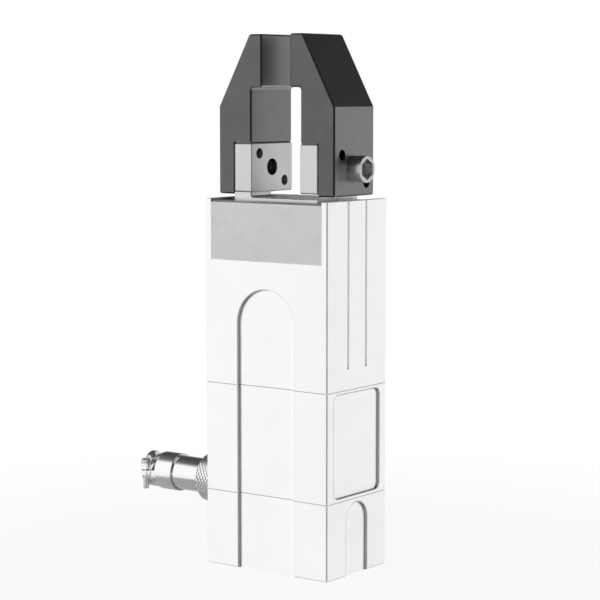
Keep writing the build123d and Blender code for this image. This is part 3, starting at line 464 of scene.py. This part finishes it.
class Finish(Nodes):
    """A material whose methods make its principled shader uneven. Each pattern has so many
    cycles a metre, one number for all ways or one each for X, Y and Z."""

    def __init__(self, name, color, metallic, roughness):
        self.material = bpy.data.materials.new(name)
        self.material.use_nodes = True
        super().__init__(self.material.node_tree)
        self.shader = self.tree.nodes["Principled BSDF"]
        self.shader.inputs["Base Color"].default_value = (*color, 1)
        self.shader.inputs["Metallic"].default_value = metallic
        self.shader.inputs["Roughness"].default_value = roughness
        self.place = self.add("TexCoord").outputs
        self.color = None
        self.normal = None

    def grain(self, cycles, detail):
        """Smooth random values over the surface, most of them from GRAIN_LOW to GRAIN_HIGH."""
        scale = np.broadcast_to(cycles, 3).tolist()
        place = self.add("Mapping", Vector=self.place["Object"], Scale=scale).outputs["Vector"]
        return self.add("TexNoise", Vector=place, Scale=1.0, Detail=detail,
                        Roughness=GRAIN_ROUGHNESS).outputs["Fac"]

    def recolor(self, color):
        """Makes a socket the base colour, which the next darken call starts from."""
        self.color = color
        self.feed(self.shader.inputs["Base Color"], color)

    def tint(self, cycles, dark, light):
        """A base colour that wanders between two close colours."""
        mix = self.add("Mix")
        mix.data_type = "RGBA"
        sides = [socket for socket in mix.inputs if socket.type == "RGBA"]
        for side, color in zip(sides, (dark, light)):
            side.default_value = (*color, 1)
        grain = self.grain(cycles, SOFT_DETAIL)
        self.feed(mix.inputs[0], self.slope(grain, GRAIN_LOW, GRAIN_HIGH))
        self.recolor([socket for socket in mix.outputs if socket.type == "RGBA"][0])

    def darken(self, clean, share):
        """Multiplies the base colour by the share where clean is 0, and by 1 where it is 1."""
        darker = self.vector("SCALE", self.color)
        self.feed(darker.inputs["Scale"], self.slope(clean, 0.0, 1.0, share))
        self.recolor(darker.outputs["Vector"])

    def gloss(self, cycles, low, high, detail=SOFT_DETAIL):
        """A roughness that wanders from low to high."""
        wandering = self.slope(self.grain(cycles, detail), GRAIN_LOW, GRAIN_HIGH, low, high)
        self.feed(self.shader.inputs["Roughness"], wandering)

    def relief(self, cycles, strength, depth=0.02 * MM):
        """Fine marks in the surface, on top of any that are there already."""
        height = self.grain(cycles, CRISP_DETAIL)
        made = self.add("Bump", Height=height, Strength=strength, Distance=depth)
        if self.normal is not None:
            self.feed(made.inputs["Normal"], self.normal)
        self.normal = made.outputs["Normal"]
        self.feed(self.shader.inputs["Normal"], self.normal)
        return self


def grey(value):
    return (value, value, value)


SEAM_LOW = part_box("lower_housing")[1].z
SEAM_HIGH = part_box("middle_housing")[1].z
BODY_HALF_WIDTH, BODY_HALF_DEPTH, BODY_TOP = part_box("upper_housing")[1]
ARCH_HALF_WIDTH = 10.35 * MM
ARCH_TOP = 83.35 * MM
SIDE_ARCH_HALF_WIDTH = 5.35 * MM
SIDE_ARCH_TOP = 21.35 * MM
LABEL_HALF_WIDTH = 11.65 * MM
LABEL_HALF_HEIGHT = 15.15 * MM
LABEL_MIDDLE = 38.6 * MM
LABEL_ROUND = 2.15 * MM
RECESS_REACH = 1.2 * MM
EDGE_MARGIN = 0.6 * MM
SKIN = 0.02 * MM
SKIN_END = 0.05 * MM
FADE = 0.1 * MM
LEDGE_DROP = 0.2 * MM
# Distances between which a mark fades: from the middle of a joint, from the base, and from
# the edge of a recess.
SEAM_DIRT = (0.084 * MM, 0.156 * MM)
SEAM_EDGE = (0.4 * MM, 0.32 * MM)
FOOT_EDGE = (0.9 * MM, 0.5 * MM)
RIM_SHADE = (0.154 * MM, 0.22 * MM)
# The part of a normal's square that lies along one axis is 1 on a face across that axis,
# 0.5 on a chamfer and 0 on the wall of a recess.
FLAT_TO_SLANTED = (0.85, 0.65)
TURNED_TO_WALL = (0.3, 0.1)
RISING_TO_LEVEL = (0.5, 0.8)
# Each share is what a mark leaves of the paint's colour: dirt in the joints, and painted shade on
# the chamfers, the recess walls, what faces upwards and the recess rims.
SEAM_SHARE = 0.4
EDGE_SHADE_SHARE = 0.55
WALL_SHADE_SHARE = 0.65
LEDGE_SHADE_SHARE = 0.1
FRONT_RIM_SHARE = 0.85
RIGHT_RIM_SHARE = 0.5


class HousingPaint(Finish):
    """The housings' paint, which knows its place on the body and the way it faces."""

    def __init__(self):
        super().__init__("white_paint", grey(0.9), metallic=0.0, roughness=0.45)
        self.x, self.y, self.z = self.parts(self.place["Object"])
        facing = self.parts(self.place["Normal"])
        self.upward = facing[2]
        self.squares = [self.product(part, part) for part in facing]
        self.slanted = self.ease(self.largest(*self.squares), *FLAT_TO_SLANTED)

    def dirty_seams(self):
        """Dirt in the joints between the sections, a line on the faces that lie flat."""
        for seam in (SEAM_LOW, SEAM_HIGH):
            clean = self.ease(self.distance(self.z, seam), *SEAM_DIRT)
            self.darken(self.largest(clean, self.slanted), SEAM_SHARE)

    def painted_edge_shade(self):
        """Painted shade on the slanted chamfers, but for those at the foot and at the joints."""
        kept = [self.without(self.slanted), self.ease(self.z, *FOOT_EDGE)]
        for seam in (SEAM_LOW, SEAM_HIGH):
            kept.append(self.ease(self.distance(self.z, seam), *SEAM_EDGE))
        # Painted shade: the slanted chamfers darker than the flat faces.
        self.darken(self.largest(*kept), EDGE_SHADE_SHARE)

    def painted_wall_shade(self):
        """Painted shade on the walls of the recesses: on what turns away from the front or the
        right face, as far in as a recess reaches and clear of the body's corners. The grooves on
        the right, above the upper joint, are left out."""
        for across, half, along, face, square, top in (
            (self.x, BODY_HALF_WIDTH, self.y, -BODY_HALF_DEPTH, self.squares[1], BODY_TOP),
            (self.y, BODY_HALF_DEPTH, self.x, BODY_HALF_WIDTH, self.squares[0], SEAM_HIGH),
        ):
            wall = self.product(
                self.ease(self.distance(across), half - EDGE_MARGIN, half - 2 * EDGE_MARGIN),
                self.ease(square, *TURNED_TO_WALL),
                self.ease(self.distance(along, face), RECESS_REACH, RECESS_REACH - FADE),
                self.ease(self.z, top, top - FADE),
            )
            # Painted shade on the recess walls.
            self.darken(self.without(wall), WALL_SHADE_SHARE)

    def painted_ledge_shade(self):
        """Painted shade on what faces upwards, but for the body's top."""
        ledge = self.product(
            self.ease(self.upward, *RISING_TO_LEVEL),
            self.ease(self.z, BODY_TOP - LEDGE_DROP, BODY_TOP - 2 * LEDGE_DROP),
        )
        # Painted shade: the faces that look up are darker.
        self.darken(self.without(ledge), LEDGE_SHADE_SHARE)

    def painted_rim_shade(self):
        """A line of painted shade on the faces along the edges of the recesses. The edge of an
        arch is a rounded rectangle that runs far below the base."""
        rise = (ARCH_TOP + BODY_TOP) / 2
        off_front = self.ease(self.y, -BODY_HALF_DEPTH + SKIN, -BODY_HALF_DEPTH + SKIN_END)
        off_right = self.ease(self.x, BODY_HALF_WIDTH - SKIN, BODY_HALF_WIDTH - SKIN_END)
        for across, half_width, half_height, middle, corner, off_face, share in (
            (self.x, ARCH_HALF_WIDTH, rise, ARCH_TOP - rise, ARCH_HALF_WIDTH,
             off_front, FRONT_RIM_SHARE),
            (self.y, SIDE_ARCH_HALF_WIDTH, rise, SIDE_ARCH_TOP - rise, SIDE_ARCH_HALF_WIDTH,
             off_right, RIGHT_RIM_SHARE),
            (self.y, LABEL_HALF_WIDTH, LABEL_HALF_HEIGHT, LABEL_MIDDLE, LABEL_ROUND,
             off_right, RIGHT_RIM_SHARE),
        ):
            up = self.calculate("SUBTRACT", self.z, middle)
            away = self.past_outline(across, up, half_width, half_height, corner)
            inside, outside = self.ease(away, 0.0, -SKIN), self.ease(away, *RIM_SHADE)
            # Painted shade in a line along the recess edges.
            self.darken(self.largest(inside, outside, off_face), share)


def white_paint():
    """Satin paint: a faint mottle, a fine orange peel and uneven gloss, with dirt in the joints
    and painted shade on the chamfers, the walls and rims of the recesses and what faces upwards."""
    paint = HousingPaint()
    paint.tint(60, dark=(0.885, 0.886, 0.888), light=(0.91, 0.91, 0.911))
    paint.dirty_seams()
    paint.painted_edge_shade()
    paint.painted_wall_shade()
    paint.painted_ledge_shade()
    paint.painted_rim_shade()
    paint.gloss(300, low=0.38, high=0.5)
    return paint.relief(1800, strength=0.12, depth=0.03 * MM)


def metal(name, color, roughness):
    """The start of a bare or plated metal's finish."""
    return Finish(name, color, metallic=1.0, roughness=roughness)


def bare_aluminium():
    """Blasted aluminium: fine grain over long, faint mill marks."""
    finish = metal("bare_aluminium", grey(0.61), roughness=0.38)
    finish.tint(90, dark=grey(0.59), light=(0.63, 0.63, 0.635))
    finish.gloss(900, low=0.33, high=0.43)
    finish.relief((150, 4000, 4000), strength=0.08)
    return finish.relief(3500, strength=0.15, depth=0.03 * MM)


def jaw_steel():
    """Fine-ground steel, its grinding marks upright."""
    finish = metal("jaw_steel", grey(0.67), roughness=0.4)
    finish.tint((200, 200, 60), dark=grey(0.65), light=(0.69, 0.69, 0.695))
    finish.gloss((4000, 4000, 300), low=0.36, high=0.45, detail=CRISP_DETAIL)
    return finish.relief((6000, 6000, 250), strength=0.07)


def shade_dark_thread():
    """The same steel in a tapped hole, near black: painted shade for the inside of the hole."""
    # Painted shade: the thread's near-black colour stands in for the shade in the hole.
    finish = metal("shade_dark_thread", grey(0.035), roughness=0.45)
    finish.tint(900, dark=grey(0.025), light=grey(0.045))
    return finish.relief(3000, strength=0.05)


OXIDE_IOR = 1.9
OXIDE_ROUGHNESS = 0.3
OXIDE_SLANT = (0.18, 0.45)


def black_anodised():
    """Dark anodised aluminium under a clear oxide gloss that grows at a slant."""
    finish = metal("black_anodised", grey(0.117), roughness=0.3)
    finish.tint(140, dark=(0.11, 0.11, 0.112), light=(0.124, 0.124, 0.126))
    finish.gloss(700, low=0.28, high=0.36)
    finish.shader.inputs["Coat IOR"].default_value = OXIDE_IOR
    finish.shader.inputs["Coat Roughness"].default_value = OXIDE_ROUGHNESS
    slant = finish.add("LayerWeight", Blend=0.5).outputs["Facing"]
    finish.feed(finish.shader.inputs["Coat Weight"], finish.slope(slant, *OXIDE_SLANT))
    return finish.relief((5000, 5000, 700), strength=0.04)


def screw_steel():
    """Bright steel, turned: fine marks round the X axis."""
    finish = metal("screw_steel", grey(0.6), roughness=0.3)
    finish.tint((1200, 300, 300), dark=grey(0.582), light=grey(0.618))
    finish.gloss((2500, 600, 600), low=0.27, high=0.33)
    return finish.relief((7000, 700, 700), strength=0.02)


def slider_steel():
    """Ground steel, its marks along the slide."""
    finish = metal("slider_steel", grey(0.68), roughness=0.28)
    finish.tint((60, 900, 900), dark=grey(0.65), light=grey(0.71))
    finish.gloss((200, 5000, 5000), low=0.22, high=0.34, detail=CRISP_DETAIL)
    return finish.relief((150, 6000, 6000), strength=0.12)


def rail_steel():
    """Hardened and ground rail steel, of one colour."""
    finish = metal("rail_steel", (0.6, 0.6, 0.61), roughness=0.18)
    finish.gloss((200, 5000, 5000), low=0.12, high=0.24, detail=CRISP_DETAIL)
    return finish.relief((150, 5000, 5000), strength=0.08)


def gear_steel():
    """Hardened gear steel, a little darker in its pores."""
    finish = metal("gear_steel", grey(0.42), roughness=0.32)
    finish.tint(900, dark=grey(0.36), light=grey(0.46))
    return finish.relief(3000, strength=0.1)


GROOVE_SHADE_TO_LIT = (0.75, 0.2)
GROOVE_SHARE = 0.25


def plated_brass():
    """Bright nickel plate with the faintest haze, and painted shade in the grooves that a piece
    marks on itself."""
    finish = metal("plated_brass", grey(0.9), roughness=0.09)
    finish.tint(300, dark=(0.88, 0.88, 0.885), light=grey(0.92))
    groove = finish.add("Attribute")
    groove.attribute_name = "groove"
    # Painted shade in the grooves.
    finish.darken(finish.ease(groove.outputs["Fac"], *GROOVE_SHADE_TO_LIT), GROOVE_SHARE)
    finish.gloss(800, low=0.07, high=0.13)
    return finish.relief((4000, 700, 700), strength=0.03, depth=0.01 * MM)


def motor_steel():
    """The zinc-plated can of motor and gearhead."""
    finish = metal("motor_steel", (0.5, 0.5, 0.52), roughness=0.35)
    finish.tint(150, dark=(0.46, 0.46, 0.48), light=(0.55, 0.55, 0.57))
    return finish.relief((600, 600, 5000), strength=0.08)


def shades(color, darker, lighter):
    """A colour times a number just below one, and times a number just above it."""
    return {"dark": [part * darker for part in color], "light": [part * lighter for part in color]}


def moulded_plastic(name, color, roughness):
    """Moulded plastic with a fine spark-eroded grain."""
    finish = Finish(name, color, metallic=0.0, roughness=roughness)
    finish.tint(400, **shades(color, 0.88, 1.12))
    finish.gloss(1500, low=roughness * 0.85, high=roughness * 1.1)
    return finish.relief(4500, strength=0.15, depth=0.03 * MM)


def black_plastic():
    return moulded_plastic("black_plastic", (0.045, 0.045, 0.05), roughness=0.5)


def board_green():
    return moulded_plastic("board_green", (0.03, 0.2, 0.09), roughness=0.25)


def chip_black():
    return moulded_plastic("chip_black", (0.03, 0.03, 0.035), roughness=0.45)


def turned_brass(name, color):
    """Turned brass, plated or bare."""
    finish = metal(name, color, roughness=0.22)
    finish.tint(700, **shades(color, 0.92, 1.06))
    return finish.relief(3000, strength=0.05)


def gold_contact():
    return turned_brass("gold_contact", (0.8, 0.58, 0.22))


def standoff_brass():
    return turned_brass("standoff_brass", (0.7, 0.55, 0.26))


FINISHES = (
    white_paint, bare_aluminium, jaw_steel, shade_dark_thread, black_anodised, screw_steel,
    slider_steel, rail_steel, gear_steel, plated_brass, motor_steel, black_plastic,
    gold_contact, board_green, chip_black, standoff_brass,
)


def dress(pieces):
    """Gives every solid the finish of its material slot, and every new piece its own."""
    materials = {make.__name__: make().material for make in FINISHES}
    for entry in frame["record"]["subparts"]:
        mesh = frame["nodes"][entry["node"]].data
        mesh.materials.clear()
        mesh.materials.append(materials[entry["material_slot"]])
    for piece, finish in pieces:
        piece.data.materials.append(materials[finish])


CAMERA_EYE = (346.9 * MM, -470.3 * MM, 140.2 * MM)
CAMERA_TURN = 0.6335
CAMERA_PITCH = 0.1042
CAMERA_LENS = 119.36
CAMERA_SENSOR = 36
CAMERA_CLIP = (0.01, 20)


def camera():
    """The photograph's viewpoint: a long lens in front to the right, at the height of the
    fingers and turned down a little. Lens and sensor are in millimetres."""
    data = bpy.data.cameras.new("camera")
    data.sensor_width = CAMERA_SENSOR
    data.lens = CAMERA_LENS
    data.clip_start, data.clip_end = CAMERA_CLIP
    eye = add_object("camera", data)
    eye.location = CAMERA_EYE
    eye.rotation_euler = (QUARTER - CAMERA_PITCH, 0, CAMERA_TURN)
    bpy.context.scene.camera = eye


LAMP_AIM = (0.0, 0.0, 0.08)
# Each lamp's place, its width and height, and its watts.
LAMPS = {
    "front_left_lamp": ((-0.8, -1.27, 0.3), (0.9, 0.5), 24),
    "rear_right_lamp": ((1.27, 0.8, 0.3), (0.9, 0.5), 22.2),
    "rear_left_lamp": ((-1.27, 0.8, 0.3), (0.9, 0.5), 9),
    "overhead_lamp": ((0.0, 0.0, 1.5), (0.8, 0.8), 4),
}


def soft_lamp(name, place, size, watts):
    """A wide lamp turned to the gripper; metal sees the studio's walls in its stead."""
    data = bpy.data.lights.new(name, "AREA")
    data.shape = "RECTANGLE"
    data.size, data.size_y = size
    data.energy = watts
    lamp = add_object(name, data)
    lamp.location = place
    x, y, z = np.subtract(place, LAMP_AIM)
    lamp.rotation_euler = (math.atan2(math.hypot(x, y), z), 0, math.atan2(x, -y))
    lamp.visible_camera = False
    lamp.visible_glossy = False


# Each wall's edge, side or top is the cosine, to one of the ways below, at which the wall
# fades out, the cosine at which it is full, and, where these aren't 0 and 1, its strength
# at both.
UP = (0, 0, 1)
LEFT = (-1, 0, 0)
REAR_RIGHT = (0.594, 0.805, 0.0)
REAR_LEFT = (-0.594, 0.805, 0.0)
FRONT_WALL_EDGE = (-0.15, -0.45)
FRONT_WALL_SIDE = (0.92, 0.82)
FRONT_WALL_TOP = (0.8, 0.62)
REAR_WALL_EDGE = (0.5, 0.85, 0.0, 0.8)
REAR_WALL_TOP = (0.42, 0.1)
LEFT_WALL_EDGE = (0.7, 0.95, 0.0, 0.4)
LEFT_WALL_TOP = (0.35, 0.1)
OVERHEAD_EDGE = (0.9, 0.97, 0.07, 0.3)
MATT_FILL = 0.13


def studio_world():
    """White to the camera. Metal sees a tall white wall in front to the left, a lower one
    behind to the right, a dim one behind to the left, near dark between them and a soft
    light overhead. Paint gets an even fill."""
    world = bpy.data.worlds.new("studio")
    world.use_nodes = True
    world.cycles.sampling_method = "NONE"
    bpy.context.scene.world = world
    sky = Nodes(world.node_tree)
    direction = sky.add("TexCoord").outputs["Generated"]
    height = sky.cosine(direction, UP)
    along = sky.cosine(direction, REAR_RIGHT)
    front = sky.product(
        sky.ease(along, *FRONT_WALL_EDGE), sky.ease(height, *FRONT_WALL_TOP),
        sky.ease(sky.cosine(direction, LEFT), *FRONT_WALL_SIDE),
    )
    rear = sky.product(sky.ease(along, *REAR_WALL_EDGE), sky.ease(height, *REAR_WALL_TOP))
    left = sky.product(
        sky.ease(sky.cosine(direction, REAR_LEFT), *LEFT_WALL_EDGE),
        sky.ease(height, *LEFT_WALL_TOP),
    )
    walls = sky.total(front, rear, sky.ease(height, *OVERHEAD_EDGE), left)
    seen, glossy = sky.rays()
    fill = sky.product(sky.without(sky.largest(glossy, seen)), MATT_FILL)
    background = sky.tree.nodes["Background"].inputs
    background["Color"].default_value = (1, 1, 1, 1)
    sky.feed(background["Strength"], sky.total(sky.product(glossy, walls), seen, fill))


FLOOR_RADIUS = 300 * MM
FLOOR_INNER_RADIUS = 20 * MM
FLOOR_RINGS = 6
FLOOR_COLUMNS = 128
FLOOR_DROP = 0.02 * MM
# Each fade is the distance from the gripper where it starts and where it ends, and the share of
# white at both. The lower share near the gripper is painted shade: around it to the camera, and on
# the floor that metal sees.
FLOOR_SHADOW = (50 * MM, 220 * MM, 0.92, 1.0)
FLOOR_MIRROR = (72 * MM, 112 * MM, 0.13, 1.0)


def floor_paper():
    """Grey paper that glows white to the camera, the glow fading into a painted shade round the
    gripper over its real soft shadow; metal sees it glow only away from the gripper, and a painted
    darker floor near it."""
    paper = Finish("floor_paper", grey(0.42), metallic=0.0, roughness=0.9)
    away = paper.vector("LENGTH", paper.place["Object"]).outputs["Value"]
    seen, glossy = paper.rays()
    # Painted shade: less glow near the gripper.
    share = paper.total(paper.product(seen, paper.ease(away, *FLOOR_SHADOW)),
                        paper.product(glossy, paper.ease(away, *FLOOR_MIRROR)))
    mix = paper.add("MixShader", Fac=share)
    paper.feed(mix.inputs[1], paper.shader.outputs[0])
    paper.feed(mix.inputs[2], paper.add("Emission", Strength=1.0).outputs[0])
    paper.feed(paper.tree.nodes["Material Output"].inputs["Surface"], mix.outputs[0])
    return paper.material


def studio_floor():
    """A round floor just below the base: rings of points at radius * cos and radius * sin
    of the column's angle, closed in the middle by one flat face."""
    angle = column_angles(FLOOR_COLUMNS)
    radius = np.linspace(FLOOR_INNER_RADIUS, FLOOR_RADIUS, FLOOR_RINGS)[:, None]
    points = np.stack(np.broadcast_arrays(
        radius * np.cos(angle), radius * np.sin(angle), -FLOOR_DROP), -1).reshape(-1, 3)
    quads = grid_quads(FLOOR_RINGS, FLOOR_COLUMNS, closed=False)[:, ::-1]
    mesh = bpy.data.meshes.new("floor")
    mesh.from_pydata(points.tolist(), [], quads.tolist() + [list(range(FLOOR_COLUMNS))])
    mesh.materials.append(floor_paper())
    floor = add_object("floor", mesh)


def main():
    camera()
    pieces = [(coupling_ring(), "plated_brass"), (plug_shell(), "plated_brass")]
    for side, way in (("left", -1), ("right", 1)):
        pieces.append((finger_screw(side, way), "screw_steel"))
        pieces.append((block_thread(side, way), "shade_dark_thread"))
    dress(pieces)
    studio_world()
    studio_floor()
    for name, (place, size, watts) in LAMPS.items():
        soft_lamp(name, place, size, watts)
    bpy.context.scene.view_settings.view_transform = "Standard"


main()
